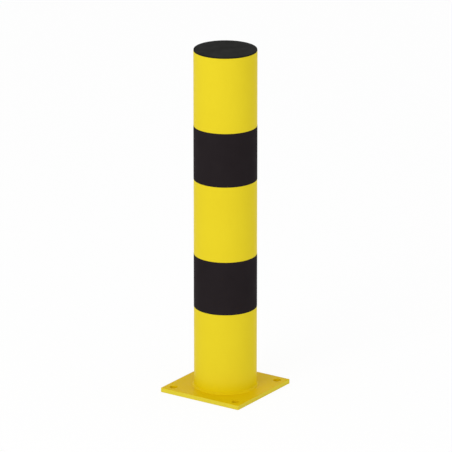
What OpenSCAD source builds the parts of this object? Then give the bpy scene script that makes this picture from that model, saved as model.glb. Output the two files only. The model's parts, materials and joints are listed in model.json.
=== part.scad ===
// Safety bollard: a steel tube welded upright on a square base plate that bolts to the floor.
// Two self-adhesive dark bands mark the tube, and a ribbed push-in cap closes its upper end.
// Millimetres. The origin is the centre of the plate's underside, +Z is up, and the plate's
// edges run along X and Y.

/* [Post] */
// Height from the floor to the top of the cap
total_height = 945; // [850:5:1200]
// Outside diameter of the tube
tube_od = 168.3; // [139.7:0.1:193.7]
// Wall thickness of the tube
tube_wall = 4.5; // [3:0.1:8]
// Deburring chamfer on the tube's upper edges
tube_chamfer = 0.6; // [0.2:0.1:1.2]

/* [Base plate] */
// Side of the square plate
plate_side = 250; // [235:1:350]
// Thickness of the plate
plate_t = 12; // [8:0.5:25]
// Radius of the plate's four upright corners
plate_corner_r = 2.5; // [1.5:0.1:10]
// Radius on the plate's long upper and lower edges
plate_edge_r = 0.8; // [0.3:0.1:1.2]
// Diameter of the anchor bolt holes
hole_d = 22; // [10:0.5:24]
// Distance from the plate's sides to the centres of the holes
hole_edge = 25; // [16:0.5:34]

/* [Weld] */
// Leg of the fillet weld between tube and plate
weld_leg = 4.2; // [3:0.1:10]
// Height of the weld's convex face above a flat one
weld_bulge = 0.6; // [0.2:0.1:1.2]

/* [Bands] */
// Height of each dark band
band_height = 147; // [80:1:200]
// Height of the lower band's lower edge above the plate
band_start = 223; // [60:1:260]
// Bare tube between the two bands
band_gap = 208; // [60:1:260]
// Thickness of the film
film_t = 0.3; // [0.1:0.05:0.8]
// Length of film that laps over its own start
lap_length = 12; // [6:1:30]
// Direction of the lap, measured from +X towards +Y
lap_angle = 100; // [0:5:355]

/* [End cap] */
// Thickness of the cap's flat head
head_t = 4; // [2:0.1:6]
// How far the head's rim stands inside the tube's outside
head_setback = 0.5; // [0.2:0.1:1.5]
// Radius of the head's upper rim
head_edge_r = 1.2; // [0.4:0.1:1.6]
// Depth of the skirt below the head
skirt_depth = 32; // [24:0.5:50]
// Wall thickness of the skirt
skirt_wall = 2.5; // [1.5:0.1:4]
// Space between the skirt and the bore, which the fins bridge
skirt_gap = 3.2; // [2:0.1:5]
// Number of gripping fins around the skirt
fin_count = 5; // [3:1:6]
// Thickness of a fin where it leaves the skirt
fin_root_t = 2; // [1.2:0.1:2.4]
// Thickness of a fin at its tip
fin_tip_t = 0.8; // [0.4:0.1:1.2]
// How far a fin's tip is swept up towards the head
fin_sweep = 1.2; // [0:0.1:2]
// Clearance between the fins' tips and the bore
fin_clear = 0.15; // [0.05:0.05:0.5]
// Plain length of skirt between the head and the highest fin, and below the lowest one
skirt_land = 3; // [2:0.5:4]
// Number of stiffening webs under the head
web_count = 8; // [4:1:12]
// Height of the webs below the head
web_height = 10; // [4:0.5:16]
// Thickness of the webs
web_t = 2; // [1.2:0.1:3]
// Outside diameter of the hub where the webs meet
hub_d = 26; // [16:0.5:40]

/* [Hidden] */
$fn = 96;
// Facets in a full turn of the small roundings, whose arcs are short
round_fn = 32;
// Extra length by which a cutting body runs past the surface that it cuts
cut_past = 1;
tube_r = tube_od / 2;
bore_r = tube_r - tube_wall;
tube_top = total_height - head_t;
hole_offset = plate_side / 2 - hole_edge;
lower_band_z = plate_t + band_start;
upper_band_z = lower_band_z + band_height + band_gap;
head_r = tube_r - head_setback;
skirt_r = bore_r - skirt_gap;
skirt_inner_r = skirt_r - skirt_wall;
fin_reach = skirt_gap - fin_clear;
fin_pitch = (skirt_depth - 2 * skirt_land - fin_root_t) / (fin_count - 1);
steel_yellow = [0.90, 0.80, 0.14];
film_black = [0.13, 0.12, 0.13];
cap_black = [0.17, 0.17, 0.17];

// A rectangle about the origin with its four corners rounded
module rounded_rect(width, height, r) {
    square([width - 2 * r, height], center = true);
    square([width, height - 2 * r], center = true);
    for (x = [-1, 1], y = [-1, 1])
        translate([x * (width / 2 - r), y * (height / 2 - r)]) circle(r, $fn = round_fn);
}

// The plate's side view, extruded far enough to cover the plate
module plate_side_view() {
    translate([0, 0, plate_t / 2])
        rotate([90, 0, 0])
            linear_extrude(plate_side + 2 * cut_past, center = true)
                rounded_rect(plate_side, plate_t, plate_edge_r);
}

// Flame-cut square plate with eased edges and four holes for anchor bolts
module base_plate() {
    color(steel_yellow)
        difference() {
            intersection() {
                linear_extrude(plate_t) rounded_rect(plate_side, plate_side, plate_corner_r);
                plate_side_view();
                rotate([0, 0, 90]) plate_side_view();
            }
            for (x = [-1, 1], y = [-1, 1])
                translate([x * hole_offset, y * hole_offset, -cut_past])
                    cylinder(h = plate_t + 2 * cut_past, d = hole_d);
        }
}

// Round tube standing on the plate, sawn square below and deburred at its open upper end
module tube() {
    color(steel_yellow)
        rotate_extrude()
            polygon([
                [bore_r, plate_t],
                [tube_r, plate_t],
                [tube_r, tube_top - tube_chamfer],
                [tube_r - tube_chamfer, tube_top],
                [bore_r + tube_chamfer, tube_top],
                [bore_r, tube_top - tube_chamfer]
            ]);
}

// Fillet weld all round the tube's foot: its convex face is an arc through both toes
module weld_bead() {
    half_chord = weld_leg / sqrt(2);
    face_r = (half_chord * half_chord + weld_bulge * weld_bulge) / (2 * weld_bulge);
    centre_back = (face_r - weld_bulge) / sqrt(2) - weld_leg / 2;
    color(steel_yellow)
        rotate_extrude()
            translate([tube_r, plate_t])
                intersection() {
                    square(2 * weld_leg);
                    translate([-centre_back, -centre_back]) circle(face_r, $fn = 2 * round_fn);
                }
}

// One turn of film around the tube from height z up. Its end lies over its start, so the lapped
// stretch is two films thick and starts half a film deep to be one piece with the turn below.
module marking_band(z) {
    lap_sweep = lap_length / tube_r * 180 / PI;
    color(film_black)
        union() {
            rotate_extrude()
                translate([tube_r, z]) square([film_t, band_height]);
            rotate([0, 0, lap_angle])
                rotate_extrude(angle = lap_sweep)
                    translate([tube_r + film_t / 2, z]) square([1.5 * film_t, band_height]);
        }
}

module lower_band() {
    marking_band(lower_band_z);
}

module upper_band() {
    marking_band(upper_band_z);
}

// Section of one fin, from the skirt outwards, with its root's lower edge at height z
module fin_section(z) {
    tip_z = z + (fin_root_t - fin_tip_t) / 2 + fin_sweep;
    polygon([
        [skirt_r - skirt_wall / 2, z],
        [skirt_r, z],
        [skirt_r + fin_reach, tip_z],
        [skirt_r + fin_reach, tip_z + fin_tip_t],
        [skirt_r, z + fin_root_t],
        [skirt_r - skirt_wall / 2, z + fin_root_t]
    ]);
}

// Section of the head, skirt and fins, drawn from the head's seat on the tube at height zero
module cap_section() {
    square([head_r, head_t - head_edge_r]);
    square([head_r - head_edge_r, head_t]);
    translate([head_r - head_edge_r, head_t - head_edge_r]) circle(head_edge_r, $fn = round_fn);
    translate([skirt_inner_r, -skirt_depth]) square([skirt_wall, skirt_depth + head_t / 2]);
    for (i = [0 : fin_count - 1])
        fin_section(i * fin_pitch + skirt_land - skirt_depth);
}

// Hub and radial webs that stiffen the head from below
module cap_webs() {
    web_reach = skirt_inner_r + skirt_wall / 2;
    translate([0, 0, -web_height])
        linear_extrude(web_height + head_t / 2)
            difference() {
                union() {
                    circle(d = hub_d);
                    for (i = [0 : web_count - 1])
                        rotate([0, 0, i * 360 / web_count])
                            translate([0, -web_t / 2]) square([web_reach, web_t]);
                }
                circle(d = hub_d - 2 * web_t);
            }
}

// Moulded push-in cap: the head rests on the tube's end and the finned skirt grips its bore
module end_cap() {
    color(cap_black)
        translate([0, 0, tube_top])
            union() {
                rotate_extrude() cap_section();
                cap_webs();
            }
}

base_plate();
tube();
weld_bead();
lower_band();
upper_band();
end_cap();
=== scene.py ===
"""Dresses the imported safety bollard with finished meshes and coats, and stands it on a plain pale floor.

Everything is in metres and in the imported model's own frame: +Z is up, the base plate's underside lies on
z = 0, and the tube's axis is the Z axis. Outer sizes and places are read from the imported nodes, and the
bolt holes from the record's mount. Sizes that no box shows repeat those of the part's source.
"""

import json
import logging
import math
from collections.abc import Iterable
from dataclasses import dataclass, replace
from enum import Enum

import bmesh
import bpy
from mathutils import Matrix, Vector, noise


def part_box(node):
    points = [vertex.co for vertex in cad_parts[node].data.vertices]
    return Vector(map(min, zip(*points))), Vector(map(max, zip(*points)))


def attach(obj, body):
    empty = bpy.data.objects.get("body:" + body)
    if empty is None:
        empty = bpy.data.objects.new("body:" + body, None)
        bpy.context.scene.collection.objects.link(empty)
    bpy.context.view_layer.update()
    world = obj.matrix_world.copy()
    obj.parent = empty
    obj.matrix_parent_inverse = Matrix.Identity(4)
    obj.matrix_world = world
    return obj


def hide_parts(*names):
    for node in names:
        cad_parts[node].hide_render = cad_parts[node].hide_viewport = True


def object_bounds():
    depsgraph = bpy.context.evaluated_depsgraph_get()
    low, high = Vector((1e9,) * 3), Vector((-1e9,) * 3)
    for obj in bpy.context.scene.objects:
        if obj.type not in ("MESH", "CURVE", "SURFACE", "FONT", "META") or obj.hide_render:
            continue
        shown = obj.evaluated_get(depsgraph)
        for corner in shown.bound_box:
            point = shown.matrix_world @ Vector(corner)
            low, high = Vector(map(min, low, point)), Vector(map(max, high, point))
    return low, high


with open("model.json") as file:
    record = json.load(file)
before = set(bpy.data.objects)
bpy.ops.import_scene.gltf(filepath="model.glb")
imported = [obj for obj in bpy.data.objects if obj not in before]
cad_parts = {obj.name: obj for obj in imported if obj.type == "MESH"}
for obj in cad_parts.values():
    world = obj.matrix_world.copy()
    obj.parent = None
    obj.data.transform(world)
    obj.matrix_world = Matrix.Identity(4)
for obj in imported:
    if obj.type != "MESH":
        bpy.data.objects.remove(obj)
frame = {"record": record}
CAD_LOW, CAD_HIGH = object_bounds()

ROOT_BODY = "root"
PICTURE_SIDE = 452
MM = 0.001
# Corners closer together than this become one, and a corner closer than this to a cut lies on it
MERGE = 0.001 * MM
# A corner closer than this to a line counts as lying on it
TOUCH = 0.01 * MM
FULL_TURN = 2 * math.pi
QUARTER_TURN = FULL_TURN / 4
EIGHTH_TURN = FULL_TURN / 8
ALONG = Vector((1.0, 0.0, 0.0))
UP = Vector((0.0, 0.0, 1.0))

Colour = tuple[float, float, float]
SectionPoint = tuple[float, float]
Mesh = bmesh.types.BMesh
Edges = list[bmesh.types.BMEdge]
Socket = bpy.types.NodeSocket

log = logging.getLogger("bollard")


class Zone(Enum):
    """Which of a piece's materials a face takes."""

    FACE = 0
    CUT_EDGE = 1


def linear(red: int, green: int, blue: int) -> Colour:
    """Turns a display colour into the linear values that shaders take.

    Args:
        red: Red from 0 to 255.
        green: Green from 0 to 255.
        blue: Blue from 0 to 255.

    Returns:
        The same colour in linear light, from 0 to 1.
    """
    toe, toe_slope, offset, power = 0.04045, 12.92, 0.055, 2.4
    return tuple(
        c / toe_slope if c <= toe else ((c + offset) / (1 + offset)) ** power
        for c in (red / 255, green / 255, blue / 255)
    )


def grey(level: float) -> Colour:
    """Gives the neutral colour of one brightness in linear light."""
    return (level, level, level)


def add_object(name: str, data: bpy.types.ID) -> bpy.types.Object:
    """Adds an object to the scene at its origin.

    Args:
        name: The object's name.
        data: The mesh, lamp or camera that it stands for.

    Returns:
        The new object.
    """
    made = bpy.data.objects.new(name, data)
    bpy.context.scene.collection.objects.link(made)
    return made


def add_mesh(name: str, bm: Mesh) -> bpy.types.Object:
    """Adds a finished mesh to the scene and frees the working copy.

    Args:
        name: The name of the object and its mesh.
        bm: The finished mesh.

    Returns:
        The new object.
    """
    data = bpy.data.meshes.new(name)
    bm.to_mesh(data)
    bm.free()
    return add_object(name, data)


def direction(azimuth: float, elevation: float) -> Vector:
    """Gives the way from the bollard to something that stands round it.

    Args:
        azimuth: The angle about Z, where 0 is towards -Y and a quarter turn is towards +X.
        elevation: The angle above the horizon.

    Returns:
        The unit direction.
    """
    level = math.cos(elevation)
    return Vector((math.sin(azimuth) * level, -math.cos(azimuth) * level, math.sin(elevation)))


def stand_off(thing: bpy.types.Object, target: Vector, back: Vector, distance: float) -> None:
    """Stands a camera or a lamp off from a point and turns it towards that point.

    Args:
        thing: The camera or the lamp.
        target: The point that it looks at.
        back: The unit direction from the point to it.
        distance: How far it stands from the point.
    """
    thing.location = target + back * distance
    thing.rotation_euler = (-back).to_track_quat("-Z", "Y").to_euler()


@dataclass(frozen=True)
class Pattern:
    """A noise pattern.

    Attributes:
        per_m: How many cells lie in a metre.
        octaves: How many octaves of finer noise it has.
        depth: How deep it is as relief, in metres.
        z_scale: How many cells lie in a metre of height, against those across.
    """

    per_m: float
    octaves: float
    depth: float = 0.0
    z_scale: float = 1.0


class NodeGraph:
    """A node tree with short calls that add nodes and join them."""

    def __init__(self, tree: bpy.types.NodeTree) -> None:
        """Takes hold of a node tree.

        Args:
            tree: The tree of a material or a world.
        """
        self.nodes = tree.nodes
        self.links = tree.links

    def join(self, source: Socket, target: Socket) -> None:
        """Joins an output to an input."""
        self.links.new(source, target)

    def height(self, place: Socket) -> Socket:
        """Takes the Z part of a place or a direction.

        Args:
            place: The place or direction.

        Returns:
            Its Z part.
        """
        split = self.nodes.new("ShaderNodeSeparateXYZ")
        self.join(place, split.inputs[0])
        return split.outputs["Z"]

    def spread(
        self, source: Socket, low: float, high: float, start: float = 0.3, end: float = 0.7
    ) -> Socket:
        """Stretches a part of a pattern's range over a chosen range.

        Args:
            source: The pattern.
            low: The value at the start of the part, and below it.
            high: The value at the end of the part, and above it.
            start: The pattern's value where the part starts.
            end: The pattern's value where the part ends.

        Returns:
            The stretched pattern.
        """
        span = self.nodes.new("ShaderNodeMapRange")
        for name, value in (("From Min", start), ("From Max", end), ("To Min", low), ("To Max", high)):
            span.inputs[name].default_value = value
        self.join(source, span.inputs["Value"])
        return span.outputs["Result"]

    def blend(self, share: Socket, first: Colour | Socket, second: Colour | Socket) -> Socket:
        """Mixes two colours by a pattern.

        Args:
            share: The share of the second colour, from 0 to 1.
            first: A colour in linear light, or an output that gives one.
            second: A colour in linear light, or an output that gives one.

        Returns:
            The mixed colour.
        """
        mix = self.nodes.new("ShaderNodeMix")
        mix.data_type = "RGBA"
        self.join(share, mix.inputs["Factor"])
        ends = [socket for socket in mix.inputs if socket.type == "RGBA"]
        for socket, colour in zip(ends, (first, second)):
            if isinstance(colour, tuple):
                socket.default_value = (*colour, 1.0)
            else:
                self.join(colour, socket)
        return next(socket for socket in mix.outputs if socket.type == "RGBA")

    def seen_ray(self) -> Socket:
        """Adds the test for rays that show the background: straight, mirrored or let through.

        Returns:
            1 for such a ray and 0 for the light that falls on things.
        """
        path = self.nodes.new("ShaderNodeLightPath")
        total = path.outputs["Is Camera Ray"]
        for name in ("Is Glossy Ray", "Is Transmission Ray"):
            larger = self.nodes.new("ShaderNodeMath")
            larger.operation = "MAXIMUM"
            self.join(total, larger.inputs[0])
            self.join(path.outputs[name], larger.inputs[1])
            total = larger.outputs[0]
        return total


class Shader(NodeGraph):
    """A material's node tree round one Principled shader."""

    def __init__(self, name: str) -> None:
        """Starts a material that holds one Principled shader.

        Args:
            name: The material's name.
        """
        self.material = bpy.data.materials.new(name)
        self.material.use_nodes = True
        super().__init__(self.material.node_tree)
        self.surface = self.nodes["Principled BSDF"]
        self.coordinates = self.nodes.new("ShaderNodeTexCoord").outputs["Object"]

    def set(self, socket: str, value: float) -> None:
        """Writes a number that is the same all over the surface on the shader's own socket."""
        self.surface.inputs[socket].default_value = value

    def feed(self, socket: str, source: Socket) -> None:
        """Joins an output to one of the Principled shader's inputs."""
        self.join(source, self.surface.inputs[socket])

    def noise(self, pattern: Pattern) -> Socket:
        """Adds a noise pattern over the object's own coordinates.

        Args:
            pattern: How fine the pattern is.

        Returns:
            The pattern, from 0 to 1.
        """
        place = self.coordinates
        if pattern.z_scale != 1.0:
            mapping = self.nodes.new("ShaderNodeMapping")
            mapping.inputs["Scale"].default_value = (1.0, 1.0, pattern.z_scale)
            self.join(place, mapping.inputs["Vector"])
            place = mapping.outputs["Vector"]
        texture = self.nodes.new("ShaderNodeTexNoise")
        texture.inputs["Scale"].default_value = pattern.per_m
        texture.inputs["Detail"].default_value = pattern.octaves
        self.join(place, texture.inputs["Vector"])
        return texture.outputs["Fac"]

    def emboss(self, layers: tuple[Pattern, ...]) -> None:
        """Gives the surface fine relief, one layer on another.

        Args:
            layers: The patterns, from the lowest to the highest.
        """
        below = None
        for layer in layers:
            bump = self.nodes.new("ShaderNodeBump")
            bump.inputs["Distance"].default_value = layer.depth
            self.join(self.noise(layer), bump.inputs["Height"])
            if below is not None:
                self.join(below, bump.inputs["Normal"])
            below = bump.outputs["Normal"]
        self.feed("Normal", below)


@dataclass(frozen=True)
class Finish:
    """A finished surface: one colour with slow drifts, an uneven gloss, and fine relief in layers."""

    name: str
    colour: Colour
    drift: Colour
    smooth: float
    rough: float
    shine: float
    colour_patches: Pattern
    gloss_patches: Pattern
    relief: tuple[Pattern, ...]

    def tint(self, shader: Shader) -> Socket:
        """Blends the two colours in slow drifts.

        Args:
            shader: The shader to build in.

        Returns:
            The colour of the surface.
        """
        share = shader.spread(shader.noise(self.colour_patches), 0.0, 1.0)
        return shader.blend(share, self.colour, self.drift)

    def material(self) -> bpy.types.Material:
        """Builds the finish's node tree.

        Returns:
            The finished material.
        """
        shader = Shader(self.name)
        shader.feed("Base Color", self.tint(shader))
        gloss = shader.spread(shader.noise(self.gloss_patches), self.smooth, self.rough)
        shader.feed("Roughness", gloss)
        shader.set("Specular IOR Level", self.shine)
        shader.emboss(self.relief)
        return shader.material


ORANGE_PEEL = Pattern(per_m=420.0, octaves=1.5, depth=0.05 * MM)
COAT_GRAIN = Pattern(per_m=2600.0, octaves=1.0, depth=0.006 * MM)
DRAG_LINES = Pattern(per_m=900.0, octaves=2.0, depth=0.09 * MM, z_scale=0.06)
LAYING_WAVES = Pattern(per_m=22.0, octaves=1.0, depth=0.10 * MM, z_scale=0.35)
FILM_GRAIN = Pattern(per_m=3800.0, octaves=1.0, depth=0.008 * MM)
MOULD_TEXTURE = Pattern(per_m=1500.0, octaves=3.0, depth=0.035 * MM)


@dataclass(frozen=True)
class PowderCoat(Finish):
    """Baked powder coat: an even colour with slow drifts, a soft gloss and a fine orange peel."""

    smooth: float = 0.36
    rough: float = 0.46
    shine: float = 0.03
    colour_patches: Pattern = Pattern(per_m=9.0, octaves=3.0)
    gloss_patches: Pattern = Pattern(per_m=60.0, octaves=3.0)
    relief: tuple[Pattern, ...] = (ORANGE_PEEL, COAT_GRAIN)


@dataclass(frozen=True)
class CutEdgeCoat(PowderCoat):
    """The same coat over a flame-cut edge, whose upright drag lines still show through it."""

    relief: tuple[Pattern, ...] = (DRAG_LINES, ORANGE_PEEL, COAT_GRAIN)


@dataclass(frozen=True, kw_only=True)
class FootShadedCoat(PowderCoat):
    """The same coat on an upright piece, with painted shade and painted yellow bounce light from the
    plate: darker and more orange towards the foot.
    """

    foot_shade: Colour
    # Heights where the painted shade is full, and where it has faded out
    shade_full_below: float = 17 * MM
    shade_ends_above: float = 46 * MM

    def tint(self, shader: Shader) -> Socket:
        """Blends the painted shade over the coat's own colour near the foot.

        Args:
            shader: The shader to build in.

        Returns:
            The colour of the surface.
        """
        height = shader.height(shader.coordinates)
        share = shader.spread(height, 1.0, 0.0, self.shade_full_below, self.shade_ends_above)
        return shader.blend(share, super().tint(shader), self.foot_shade)


@dataclass(frozen=True)
class MarkingFilm(Finish):
    """Matt self-adhesive film: nearly black, with a dull cast surface and slow waves from the laying."""

    smooth: float = 0.54
    rough: float = 0.68
    shine: float = 0.012
    colour_patches: Pattern = Pattern(per_m=14.0, octaves=4.0)
    gloss_patches: Pattern = Pattern(per_m=35.0, octaves=5.0)
    relief: tuple[Pattern, ...] = (LAYING_WAVES, replace(ORANGE_PEEL, depth=0.02 * MM), FILM_GRAIN)


@dataclass(frozen=True)
class MouldedPlastic(Finish):
    """Matt moulded plastic: dark grey, with the fine erosion texture of its mould."""

    smooth: float = 0.58
    rough: float = 0.72
    shine: float = 0.015
    colour_patches: Pattern = Pattern(per_m=26.0, octaves=4.0)
    gloss_patches: Pattern = Pattern(per_m=45.0, octaves=3.0)
    relief: tuple[Pattern, ...] = (MOULD_TEXTURE,)


COAT_YELLOW = linear(231, 209, 40)
COAT_DRIFT = linear(229, 206, 38)
# Painted shade: the tube's yellow made darker and more orange at its foot, with painted yellow bounce
# light from the plate
COAT_FOOT_SHADE = linear(226, 203, 11)
# Painted shade: the plate's flats take a darker, more orange copy of the same coat, with painted yellow
# bounce light from the tube
PLATE_SHADED_YELLOW = linear(231, 198, 9)
PLATE_SHADED_DRIFT = linear(228, 194, 8)
# Painted light: the plate's cut edges take a paler copy of the same coat, as lit where they face the key
# lamp
EDGE_LIT_YELLOW = linear(225, 207, 59)
EDGE_LIT_DRIFT = linear(222, 203, 57)
# Painted shade: the weld takes a darker, more orange copy of the same coat, for the shade where tube meets
# plate
WELD_SHADED_YELLOW = linear(226, 197, 11)
WELD_SHADED_DRIFT = linear(223, 193, 10)
FILM_BLACK = linear(35, 30, 32)
FILM_DRIFT = linear(39, 34, 36)
CAP_BLACK = linear(33, 33, 32)
CAP_DRIFT = linear(38, 38, 37)

TUBE_COAT = FootShadedCoat("tube_foot_shaded_powder_coat", COAT_YELLOW, COAT_DRIFT, foot_shade=COAT_FOOT_SHADE)
PLATE_COAT = PowderCoat("plate_shaded_powder_coat", PLATE_SHADED_YELLOW, PLATE_SHADED_DRIFT)
PLATE_EDGE_COAT = CutEdgeCoat("plate_edge_lit_powder_coat", EDGE_LIT_YELLOW, EDGE_LIT_DRIFT)
WELD_COAT = PowderCoat(
    "weld_shaded_powder_coat", WELD_SHADED_YELLOW, WELD_SHADED_DRIFT,
    relief=(replace(ORANGE_PEEL, depth=0.03 * MM), COAT_GRAIN),
)
BAND_FILM = MarkingFilm("band_film", FILM_BLACK, FILM_DRIFT)
CAP_PLASTIC = MouldedPlastic("cap_plastic", CAP_BLACK, CAP_DRIFT)


def spin_section(bm: Mesh, section: list[SectionPoint], steps: int) -> None:
    """Turns a closed section through a full circle about the Z axis.

    Args:
        bm: The mesh to add the ring to.
        section: Corners in order, each a radius and a height.
        steps: How many facets go round.
    """
    corners = [bm.verts.new((radius, 0.0, height)) for radius, height in section]
    edges = [bm.edges.new(pair) for pair in zip(corners, corners[1:] + corners[:1])]
    bmesh.ops.spin(
        bm, geom=corners + edges, cent=(0, 0, 0), axis=UP, angle=FULL_TURN, steps=steps, use_merge=True
    )


def revolve(section: list[SectionPoint], steps: int) -> Mesh:
    """Makes a ring or a solid of revolution about the Z axis.

    Args:
        section: Corners in order, each a radius and a height.
        steps: How many facets go round.

    Returns:
        A closed shell whose faces point outwards, without the edge that a corner on the axis leaves.
    """
    bm = bmesh.new()
    spin_section(bm, section, steps)
    bmesh.ops.remove_doubles(bm, verts=bm.verts[:], dist=MERGE)
    on_axis = [edge for edge in bm.edges if edge.is_wire]
    bmesh.ops.delete(bm, geom=on_axis, context="EDGES")
    bmesh.ops.recalc_face_normals(bm, faces=bm.faces[:])
    return bm


def ring_edges(bm: Mesh, radius: float, height: float) -> Edges:
    """Finds the edges of one circle about the Z axis.

    Args:
        bm: The mesh to search.
        radius: The circle's radius.
        height: The circle's height.

    Returns:
        The edges with both ends on the circle.
    """
    def on_ring(vert: bmesh.types.BMVert) -> bool:
        """Tells whether a corner lies on the circle."""
        return abs(vert.co.xy.length - radius) < TOUCH and abs(vert.co.z - height) < TOUCH

    return [edge for edge in bm.edges if on_ring(edge.verts[0]) and on_ring(edge.verts[1])]


def ease(bm: Mesh, edges: Edges, reach: float, facets: int) -> None:
    """Rounds edges over.

    Args:
        bm: The mesh to change.
        edges: The edges to round.
        reach: How far the rounding reaches from the edge.
        facets: How many facets make the rounding.
    """
    bmesh.ops.bevel(
        bm, geom=edges, offset=reach, offset_type="OFFSET", segments=facets,
        profile=0.5, affect="EDGES", clamp_overlap=True, material=-1,
    )


def cut_across(bm: Mesh, axis: Vector, places: Iterable[float]) -> None:
    """Cuts a mesh into lengths by planes square to an axis.

    Args:
        bm: The mesh to cut.
        axis: The unit direction of the axis, which passes through the origin.
        places: How far along the axis the planes stand.
    """
    for place in places:
        bmesh.ops.bisect_plane(
            bm, geom=bm.verts[:] + bm.edges[:] + bm.faces[:], dist=MERGE,
            plane_co=axis * place, plane_no=axis,
        )


def half_width(low: Vector, high: Vector) -> float:
    """Measures a box along X.

    Args:
        low: The box's lowest corner.
        high: The box's highest corner.

    Returns:
        Half the box's width, which is the outer radius of a round piece.
    """
    return (high[0] - low[0]) / 2


@dataclass
class Piece:
    """One physical piece of the bollard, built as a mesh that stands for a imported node."""

    name: str
    node: str
    slot: str

    def mesh(self) -> Mesh:
        """Models the piece in place."""
        raise NotImplementedError

    def materials(self) -> list[bpy.types.Material]:
        """Gives the piece's materials in the order of Zone."""
        raise NotImplementedError

    def build(self) -> bpy.types.Object:
        """Makes the object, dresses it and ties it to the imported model.

        Returns:
            The finished object.
        """
        bm = self.mesh()
        for face in bm.faces:
            face.smooth = True
        piece = add_mesh(self.name, bm)
        for material in self.materials():
            piece.data.materials.append(material)
        shading = piece.modifiers.new("even_shading", "WEIGHTED_NORMAL")
        shading.keep_sharp = True
        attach(piece, ROOT_BODY)
        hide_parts(self.node)
        return piece


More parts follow.
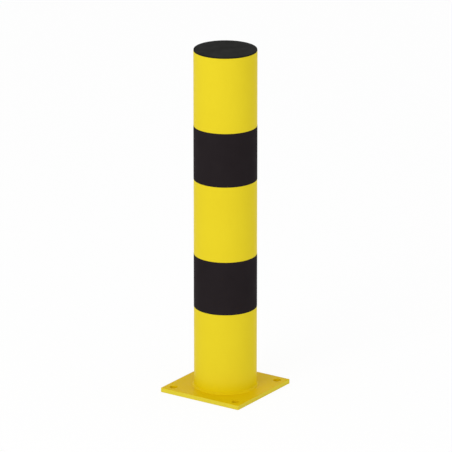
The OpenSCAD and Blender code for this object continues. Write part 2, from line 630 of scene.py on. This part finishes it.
@dataclass
class BasePlate(Piece):
    """Square plate with rounded corners, eased edges and four bolt holes."""

    side: float
    thickness: float
    hole_radius: float
    hole_pitch: float
    hole_reach: float = 1.02
    corner_radius: float = 2.5 * MM
    corner_facets: int = 6
    edge_radius: float = 0.8 * MM
    edge_facets: int = 4
    rim_radius: float = 0.6 * MM
    rim_facets: int = 3
    patch_cells: int = 12
    upright_below: float = 0.5

    @classmethod
    def from_frame(cls) -> "BasePlate":
        """Reads the plate's size from its node and its holes from the record's mount.

        Returns:
            The plate.
        """
        low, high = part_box("base_plate")
        bolts = next(m for m in frame["record"]["mounts"] if m["name"] == "anchor_bolts")
        return cls(
            name="coated_base_plate",
            node="base_plate",
            slot="yellow_coat",
            side=high[0] - low[0],
            thickness=high[2] - low[2],
            hole_radius=bolts["dims"]["hole_r_mm"] * MM,
            hole_pitch=bolts["dims"]["spacing_x_mm"] * MM,
        )

    def materials(self) -> list[bpy.types.Material]:
        """Gives the flats' coat with painted shade, and the cut edges' coat with painted light."""
        return [PLATE_COAT.material(), PLATE_EDGE_COAT.material()]

    def hole_centres(self) -> list[Vector]:
        """Gives the centres of the four holes on the plate's underside."""
        half = self.hole_pitch / 2
        return [Vector((x * half, y * half, 0.0)) for x in (-1, 1) for y in (-1, 1)]

    def by_hole(self, place: Vector) -> bool:
        """Tells whether a place lies in one of the holes or on its wall."""
        near = self.hole_radius * self.hole_reach
        return any((place - centre).xy.length < near for centre in self.hole_centres())

    def open_hole(self, bm: Mesh, centre: Vector, patch: float) -> None:
        """Cuts a round hole into one square patch of the flat sheet.

        Args:
            bm: The flat sheet.
            centre: The hole's centre.
            patch: Half the width of the square patch round the hole.
        """
        def in_patch(face: bmesh.types.BMFace) -> bool:
            """Tells whether a face lies in the patch."""
            away = face.calc_center_median() - centre
            return max(abs(away.x), abs(away.y)) < patch

        region = {face for face in bm.faces if in_patch(face)}
        outline = [
            edge for edge in bm.edges if sum(face in region for face in edge.link_faces) == 1
        ]
        kept = {vert for edge in outline for vert in edge.verts}
        inner = [
            vert for vert in bm.verts
            if vert not in kept and any(face in region for face in vert.link_faces)
        ]
        bmesh.ops.delete(bm, geom=inner, context="VERTS")
        ring = bmesh.ops.extrude_edge_only(bm, edges=outline)
        for vert in (item for item in ring["geom"] if isinstance(item, bmesh.types.BMVert)):
            away = vert.co - centre
            turn = math.atan2(away.y, away.x)
            side = round(turn / QUARTER_TURN) * QUARTER_TURN
            turn = side + math.tan(turn - side) * EIGHTH_TURN
            vert.co = centre + Vector((math.cos(turn), math.sin(turn), 0.0)) * self.hole_radius

    def sheet(self) -> Mesh:
        """Lays out the plate's underside as a flat sheet with its holes.

        Returns:
            The flat sheet on z = 0.
        """
        bm = bmesh.new()
        half = self.side / 2
        bmesh.ops.create_grid(bm, x_segments=3, y_segments=3, size=half)
        patch = half - self.hole_pitch / 2
        inner_line = half - 2 * patch
        for vert in bm.verts:
            for axis in (0, 1):
                if abs(vert.co[axis]) < half - TOUCH:
                    vert.co[axis] = math.copysign(inner_line, vert.co[axis])
        bmesh.ops.subdivide_edges(
            bm, edges=bm.edges[:], cuts=self.patch_cells - 1, use_grid_fill=True
        )
        for centre in self.hole_centres():
            self.open_hole(bm, centre, patch)
        return bm

    def round_corners(self, bm: Mesh) -> None:
        """Rounds the plate's four upright corners.

        Args:
            bm: The square plate.
        """
        limit = self.side / 2 - TOUCH
        upright = [
            edge for edge in bm.edges
            if all(min(abs(v.co.x), abs(v.co.y)) > limit for v in edge.verts)
        ]
        ease(bm, upright, self.corner_radius, self.corner_facets)

    def zone_of(self, face: bmesh.types.BMFace) -> Zone:
        """Tells an upright face from a flat."""
        return Zone.CUT_EDGE if abs(face.normal.z) < self.upright_below else Zone.FACE

    def sharp_edges(self, bm: Mesh) -> tuple[Edges, Edges]:
        """Finds the edges between the flats and the cut sides.

        Args:
            bm: The plate with square edges.

        Returns:
            The edges round the plate's outline, and those round its holes.
        """
        turned = [
            edge for edge in bm.edges
            if {self.zone_of(face) for face in edge.link_faces} == {Zone.FACE, Zone.CUT_EDGE}
        ]
        rims = [edge for edge in turned if self.by_hole(edge.verts[0].co)]
        return [edge for edge in turned if edge not in rims], rims

    def mesh(self) -> Mesh:
        """Thickens the sheet, rounds its corners and eases its edges.

        Returns:
            The plate's mesh, with its cut edges marked. The walls of the holes take the flats' colour, the
            painted shade that darkens the holes.
        """
        bm = self.sheet()
        raised = bmesh.ops.extrude_face_region(bm, geom=bm.faces[:])
        top = [item for item in raised["geom"] if isinstance(item, bmesh.types.BMVert)]
        bmesh.ops.translate(bm, verts=top, vec=UP * self.thickness)
        bmesh.ops.recalc_face_normals(bm, faces=bm.faces[:])
        self.round_corners(bm)
        # The hole walls take the flats' darker colour: painted shade inside the holes
        for face in bm.faces:
            shaded_hole_wall = self.by_hole(face.calc_center_median())
            face.material_index = (Zone.FACE if shaded_hole_wall else self.zone_of(face)).value
        outer, rims = self.sharp_edges(bm)
        ease(bm, outer, self.edge_radius, self.edge_facets)
        rims = [edge for edge in rims if edge.is_valid]
        ease(bm, rims, self.rim_radius, self.rim_facets)
        return bm


@dataclass
class PostTube(Piece):
    """Round tube, sawn square at its foot and deburred at its open upper end."""

    radius: float
    low: float
    high: float
    wall: float = 4.5 * MM
    deburr: float = 0.6 * MM
    deburr_facets: int = 3
    steps: int = 192
    ring_spacing: float = 60 * MM

    @classmethod
    def from_frame(cls) -> "PostTube":
        """Reads the tube's radius and its ends from its node.

        Returns:
            The tube.
        """
        low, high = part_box("tube")
        return cls(
            name="coated_tube",
            node="tube",
            slot="yellow_coat",
            radius=half_width(low, high),
            low=low[2],
            high=high[2],
        )

    @property
    def bore(self) -> float:
        """The tube's inside radius."""
        return self.radius - self.wall

    def materials(self) -> list[bpy.types.Material]:
        """Gives the tube's coat, with painted shade at its foot."""
        return [TUBE_COAT.material()]

    def mesh(self) -> Mesh:
        """Spins the tube's wall, deburrs its upper end and cuts it into even rings.

        Returns:
            The tube's mesh.
        """
        bm = revolve(
            [
                (self.bore, self.low),
                (self.radius, self.low),
                (self.radius, self.high),
                (self.bore, self.high),
            ],
            self.steps,
        )
        ends = ring_edges(bm, self.radius, self.high) + ring_edges(bm, self.bore, self.high)
        ease(bm, ends, self.deburr, self.deburr_facets)
        length = self.high - self.low
        rings = round(length / self.ring_spacing)
        cut_across(bm, UP, (self.low + length * ring / rings for ring in range(1, rings)))
        return bm


@dataclass
class FootWeld(Piece):
    """Fillet weld round the tube's foot, laid in overlapping ripples from one start.

    A place on the weld's face is given by its lift: the angle round the root, which is 0 along the plate
    and a quarter turn up the tube.
    """

    tube_radius: float
    base: float
    leg: float
    bulge: float = 0.6 * MM
    plate_pool: float = 0.5 * MM
    tube_pool: float = 2.2 * MM
    pool_angle: float = math.radians(30)
    sink: float = 0.05 * MM
    sink_power: int = 8
    section_points: int = 23
    ripple_pitch: float = 2.3 * MM
    ripple_depth: float = 0.14 * MM
    ripple_front: float = 4.0
    crescent: float = 0.45
    wander: float = 0.22 * MM
    wander_scale: float = 6.0
    start_angle: float = math.radians(128)
    crater_ripples: float = 2.0
    steps_per_ripple: int = 6

    @classmethod
    def from_frame(cls) -> "FootWeld":
        """Reads the weld's place from its node and the tube's radius from the tube.

        Returns:
            The weld.
        """
        low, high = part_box("weld_bead")
        tube_low, tube_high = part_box("tube")
        return cls(
            name="coated_foot_weld",
            node="weld_bead",
            slot="yellow_coat",
            tube_radius=half_width(tube_low, tube_high),
            base=low[2],
            leg=high[2] - low[2],
        )

    @property
    def ripples(self) -> int:
        """How many ripples go round the tube."""
        return round(FULL_TURN * self.tube_radius / self.ripple_pitch)

    def materials(self) -> list[bpy.types.Material]:
        """Gives the weld's coat, painted darker for the shade where tube meets plate."""
        return [WELD_COAT.material()]

    def section(self) -> list[SectionPoint]:
        """Draws the weld's section: both toes, the convex face and the hidden root.

        The coat pools in the toes, so that they run out flat along the plate and the tube. The
        corners stand closest there.

        Returns:
            Corners in order, each a radius and a height.
        """
        face = []
        for step in range(self.section_points):
            lift = EIGHTH_TURN * (1 - math.cos(math.pi * step / (self.section_points - 1)))
            flat = self.leg / (math.cos(lift) + math.sin(lift))
            from_toe = max(0.0, min(lift, QUARTER_TURN - lift))
            pooled = self.plate_pool if lift < EIGHTH_TURN else self.tube_pool
            share = 1 - math.sqrt(min(1.0, from_toe / self.pool_angle))
            reach = flat + self.bulge * math.sin(2 * lift) ** 2 + pooled * share**2
            into_tube = self.sink * math.sin(lift) ** self.sink_power
            into_plate = self.sink * math.cos(lift) ** self.sink_power
            face.append((
                self.tube_radius + reach * math.cos(lift) - into_tube,
                self.base + reach * math.sin(lift) - into_plate,
            ))
        return [*face, (self.tube_radius - self.sink, self.base - self.sink)]

    def ripple(self, turn: float, lift: float) -> float:
        """Gives how far the weld's face stands out from its plain section at one place.

        Args:
            turn: The angle round the tube.
            lift: The angle round the weld's root.

        Returns:
            The height of the relief in metres.
        """
        across = (lift - EIGHTH_TURN) / EIGHTH_TURN
        along = (turn - self.start_angle) / FULL_TURN % 1.0 * self.ripples
        phase = (along + self.crescent * across * across) % 1.0
        crest = (1 - phase) * min(1.0, phase * self.ripple_front)
        fade = max(0.0, 1 - across * across)
        round_trip = Vector((math.cos(turn), math.sin(turn), lift)) * self.wander_scale
        sway = noise.noise(round_trip) * self.wander
        from_start = min(along, self.ripples - along) / self.crater_ripples
        crater = math.exp(-(from_start**2)) * self.ripple_depth
        return (self.ripple_depth * crest + sway - crater) * fade

    def mesh(self) -> Mesh:
        """Spins the weld's section finely and raises the ripples on its face.

        Returns:
            The weld's mesh.
        """
        bm = revolve(self.section(), self.ripples * self.steps_per_ripple)
        for vert in bm.verts:
            out = vert.co.xy.length - self.tube_radius
            up = vert.co.z - self.base
            if out + up < self.sink:
                continue
            turn = math.atan2(vert.co.y, vert.co.x)
            lift = min(max(math.atan2(up, out), 0.0), QUARTER_TURN)
            rise = self.ripple(turn, lift)
            away = Vector((math.cos(turn), math.sin(turn), 0.0)) * math.cos(lift)
            vert.co += (away + UP * math.sin(lift)) * rise
        bmesh.ops.recalc_face_normals(bm, faces=bm.faces[:])
        return bm


@dataclass
class MarkingBand(Piece):
    """One turn of film round the tube, whose end climbs over its start at the lap."""

    tube_radius: float
    film: float
    low: float
    high: float
    lap: float = 12 * MM
    climb: float = 3 * MM
    lap_angle: float = math.radians(100)
    rim: float = 0.07 * MM
    rim_facets: int = 2
    lengths: int = 240

    @classmethod
    def from_frame(cls, node: str) -> "MarkingBand":
        """Reads a band's height and film from its node.

        Args:
            node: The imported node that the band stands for.

        Returns:
            The band.
        """
        low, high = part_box(node)
        tube_low, tube_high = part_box("tube")
        tube_radius = half_width(tube_low, tube_high)
        return cls(
            name=f"film_{node}",
            node=node,
            slot="band_film",
            tube_radius=tube_radius,
            film=-low[0] - tube_radius,
            low=low[2],
            high=high[2],
        )

    @property
    def girth(self) -> float:
        """The length of one turn round the tube."""
        return FULL_TURN * self.tube_radius

    def materials(self) -> list[bpy.types.Material]:
        """Gives the film's material."""
        return [BAND_FILM.material()]

    def strip(self) -> Mesh:
        """Cuts the flat strip of film: X along it, Y through it and Z across it.

        Returns:
            The flat strip, from its start at X = 0.
        """
        bm = bmesh.new()
        length = self.girth + self.lap
        size = Matrix.Diagonal((length, self.film, self.high - self.low, 1.0))
        middle = Matrix.Translation((length / 2, self.film / 2, (self.low + self.high) / 2))
        bmesh.ops.create_cube(bm, size=1.0, matrix=middle @ size)
        ease(bm, bm.edges[:], self.rim, self.rim_facets)
        cut_across(bm, ALONG, (length * cut / self.lengths for cut in range(1, self.lengths)))
        return bm

    def mesh(self) -> Mesh:
        """Wraps the strip round the tube and lifts its end on to its start.

        The wrapping turns the strip inside out, so its faces are reversed.

        Returns:
            The band's mesh.
        """
        bm = self.strip()
        for vert in bm.verts:
            along, through, height = vert.co
            lift = min(max((along - self.girth + self.climb) / self.climb, 0.0), 1.0)
            radius = self.tube_radius + through + self.film * lift
            angle = self.lap_angle + along / self.tube_radius
            vert.co = Vector((radius * math.cos(angle), radius * math.sin(angle), height))
        bmesh.ops.reverse_faces(bm, faces=bm.faces[:])
        return bm


@dataclass
class EndCap(Piece):
    """Moulded cap: a flat head, a finned skirt that grips the bore, and webs under the head."""

    seat: float
    top: float
    low: float
    head_radius: float
    bore_radius: float
    head_edge: float = 1.2 * MM
    head_edge_facets: int = 5
    skirt_gap: float = 3.2 * MM
    skirt_wall: float = 2.5 * MM
    skirt_land: float = 3 * MM
    fin_count: int = 5
    fin_root: float = 2 * MM
    fin_tip: float = 0.8 * MM
    fin_sweep: float = 1.2 * MM
    fin_clear: float = 0.15 * MM
    web_count: int = 8
    web_height: float = 10 * MM
    web_thickness: float = 2 * MM
    hub_radius: float = 13 * MM
    hub_steps: int = 48
    steps: int = 192

    @classmethod
    def from_frame(cls, tube: PostTube) -> "EndCap":
        """Reads the cap's ends and rim from its node, and its seat and bore from the tube.

        Args:
            tube: The tube that carries the cap.

        Returns:
            The cap.
        """
        low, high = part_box("end_cap")
        return cls(
            name="moulded_end_cap",
            node="end_cap",
            slot="cap_plastic",
            seat=tube.high,
            top=high[2],
            low=low[2],
            head_radius=half_width(low, high),
            bore_radius=tube.bore,
        )

    @property
    def skirt_radius(self) -> float:
        """The skirt's outside radius between the fins."""
        return self.bore_radius - self.skirt_gap

    def materials(self) -> list[bpy.types.Material]:
        """Gives the cap's plastic."""
        return [CAP_PLASTIC.material()]

    def fins(self) -> list[SectionPoint]:
        """Draws the swept fins up the outside of the skirt, from the lowest to the highest.

        Returns:
            Corners in order, each a radius and a height.
        """
        tip = self.bore_radius - self.fin_clear
        depth = self.seat - self.low
        pitch = (depth - 2 * self.skirt_land - self.fin_root) / (self.fin_count - 1)
        corners = []
        for fin in range(self.fin_count):
            root = self.low + self.skirt_land + fin * pitch
            tip_low = root + (self.fin_root - self.fin_tip) / 2 + self.fin_sweep
            corners += [
                (self.skirt_radius, root),
                (tip, tip_low),
                (tip, tip_low + self.fin_tip),
                (self.skirt_radius, root + self.fin_root),
            ]
        return corners

    def shell(self) -> Mesh:
        """Spins the head, the skirt and its fins as one shell.

        Returns:
            The shell, with the head's upper rim rounded.
        """
        inside = self.skirt_radius - self.skirt_wall
        bm = revolve(
            [
                (0.0, self.top),
                (0.0, self.seat),
                (inside, self.seat),
                (inside, self.low),
                (self.skirt_radius, self.low),
                *self.fins(),
                (self.skirt_radius, self.seat),
                (self.head_radius, self.seat),
                (self.head_radius, self.top),
            ],
            self.steps,
        )
        rim = ring_edges(bm, self.head_radius, self.top)
        ease(bm, rim, self.head_edge, self.head_edge_facets)
        return bm

    def hub(self, bm: Mesh, low: float, high: float) -> None:
        """Adds the ring in the middle, from which the webs run out.

        Args:
            bm: The mesh to add to.
            low: The height of the ring's lower end.
            high: The height of its upper end, inside the head.
        """
        bore = self.hub_radius - self.web_thickness
        section = [(bore, low), (self.hub_radius, low), (self.hub_radius, high), (bore, high)]
        spin_section(bm, section, self.hub_steps)

    def webs(self, bm: Mesh, low: float, high: float) -> None:
        """Adds the webs that run from the hub into the skirt.

        Args:
            bm: The mesh to add to.
            low: The height of the webs' lower edges.
            high: The height of their upper edges, inside the head.
        """
        start = self.hub_radius - self.web_thickness / 2
        end = self.skirt_radius - self.skirt_wall / 2
        size = Matrix.Diagonal((end - start, self.web_thickness, high - low, 1.0))
        place = Matrix.Translation(((start + end) / 2, 0.0, (low + high) / 2))
        for web in range(self.web_count):
            turn = Matrix.Rotation(FULL_TURN * web / self.web_count, 4, "Z")
            bmesh.ops.create_cube(bm, size=1.0, matrix=turn @ place @ size)

    def mesh(self) -> Mesh:
        """Adds the hub and the webs under the head.

        Returns:
            The cap's mesh.
        """
        bm = self.shell()
        low = self.seat - self.web_height
        high = (self.seat + self.top) / 2
        self.hub(bm, low, high)
        self.webs(bm, low, high)
        bmesh.ops.recalc_face_normals(bm, faces=bm.faces[:])
        return bm


@dataclass
class Studio:
    """Pale floor, even surrounding light, one soft key lamp, and the photograph's camera."""

    floor_side: float = 60.0
    floor_drop: float = 0.2 * MM
    floor_level: float = 0.90
    floor_glow: float = 0.88
    glow_strength: float = 1.03
    left_horizon: float = 0.83
    right_horizon: float = 1.35
    zenith: float = 0.50
    seen_level: float = 1.0
    key_azimuth: float = math.radians(-2)
    key_elevation: float = math.radians(22.5)
    key_distance: float = 6.5
    key_size: float = 3.2
    key_power: float = 132.0
    camera_azimuth: float = math.radians(34.035)
    camera_pitch: float = math.radians(18.1)
    camera_distance: float = 11.1863
    focal_pixels: float = 4216.0
    aim_height: float = 0.45685
    aim_right: float = 0.00154
    view_depth: float = 200.0

    def right(self) -> Vector:
        """Gives the camera's level direction to the right."""
        return Vector((math.cos(self.camera_azimuth), math.sin(self.camera_azimuth), 0.0))

    def camera(self) -> None:
        """Sets up the long lens that sees what the photograph shows."""
        data = bpy.data.cameras.new("camera")
        data.lens = data.sensor_width * self.focal_pixels / PICTURE_SIDE
        data.clip_end = self.view_depth
        camera = add_object("camera", data)
        target = UP * self.aim_height + self.right() * self.aim_right
        back = direction(self.camera_azimuth, self.camera_pitch)
        stand_off(camera, target, back, self.camera_distance)
        bpy.context.scene.camera = camera

    def world(self) -> None:
        """Surrounds the bollard with soft light, and shows white where nothing stands."""
        world = bpy.data.worlds.new("studio_sky")
        bpy.context.scene.world = world
        world.use_nodes = True
        graph = NodeGraph(world.node_tree)
        way = graph.nodes.new("ShaderNodeTexCoord").outputs["Generated"]
        across = graph.nodes.new("ShaderNodeVectorMath")
        across.operation = "DOT_PRODUCT"
        across.inputs[1].default_value = self.right()
        graph.join(way, across.inputs[0])
        side = graph.spread(across.outputs["Value"], 0.0, 1.0, -1.0, 1.0)
        height = graph.spread(graph.height(way), 0.0, 1.0, 0.0, 1.0)
        horizon = graph.blend(side, grey(self.left_horizon), grey(self.right_horizon))
        sky = graph.blend(height, horizon, grey(self.zenith))
        shown = graph.blend(graph.seen_ray(), sky, grey(self.seen_level))
        graph.join(shown, graph.nodes["Background"].inputs["Color"])

    def floor_material(self) -> bpy.types.Material:
        """Makes the floor's material, matt to the light and nearly white to the eye.

        Returns:
            The finished material.
        """
        material = bpy.data.materials.new("pale_floor")
        material.use_nodes = True
        graph = NodeGraph(material.node_tree)
        graph.nodes.remove(graph.nodes["Principled BSDF"])
        matt = graph.nodes.new("ShaderNodeBsdfDiffuse")
        matt.inputs["Color"].default_value = (*grey(self.floor_level), 1.0)
        glow = graph.nodes.new("ShaderNodeEmission")
        glow.inputs["Strength"].default_value = self.glow_strength
        share = graph.spread(graph.seen_ray(), 0.0, self.floor_glow, 0.0, 1.0)
        mix = graph.nodes.new("ShaderNodeMixShader")
        for source, target in zip((share, matt.outputs[0], glow.outputs[0]), mix.inputs):
            graph.join(source, target)
        graph.join(mix.outputs[0], graph.nodes["Material Output"].inputs["Surface"])
        return material

    def floor(self) -> None:
        """Lays the pale floor, which looks white and still takes the bollard's shadow.

        It lies a hair below the plate, so that the two surfaces don't coincide.
        """
        bm = bmesh.new()
        below = Matrix.Translation((0.0, 0.0, -self.floor_drop))
        bmesh.ops.create_grid(
            bm, x_segments=1, y_segments=1, size=self.floor_side / 2, matrix=below
        )
        floor = add_mesh("floor", bm)
        floor.data.materials.append(self.floor_material())

    def key_lamp(self) -> None:
        """Hangs the soft key lamp at the front left."""
        data = bpy.data.lights.new("key_lamp", "AREA")
        data.shape = "SQUARE"
        data.size = self.key_size
        data.energy = self.key_power
        back = direction(self.key_azimuth, self.key_elevation)
        stand_off(add_object("key_lamp", data), (CAD_LOW + CAD_HIGH) / 2, back, self.key_distance)

    def build(self) -> None:
        """Sets up the camera, the light and the floor."""
        bpy.context.scene.view_settings.view_transform = "Standard"
        self.camera()
        self.world()
        self.floor()
        self.key_lamp()


def main() -> None:
    """Builds the bollard's pieces in order, then the studio round them."""
    logging.basicConfig(level=logging.INFO, format="%(message)s")
    tube = PostTube.from_frame()
    pieces = [
        BasePlate.from_frame(),
        tube,
        FootWeld.from_frame(),
        MarkingBand.from_frame("lower_band"),
        MarkingBand.from_frame("upper_band"),
        EndCap.from_frame(tube),
    ]
    for piece in pieces:
        made = piece.build()
        log.info("%s stands for %s: %d faces", made.name, piece.node, len(made.data.polygons))
    Studio().build()


if __name__ == "__main__":
    main()
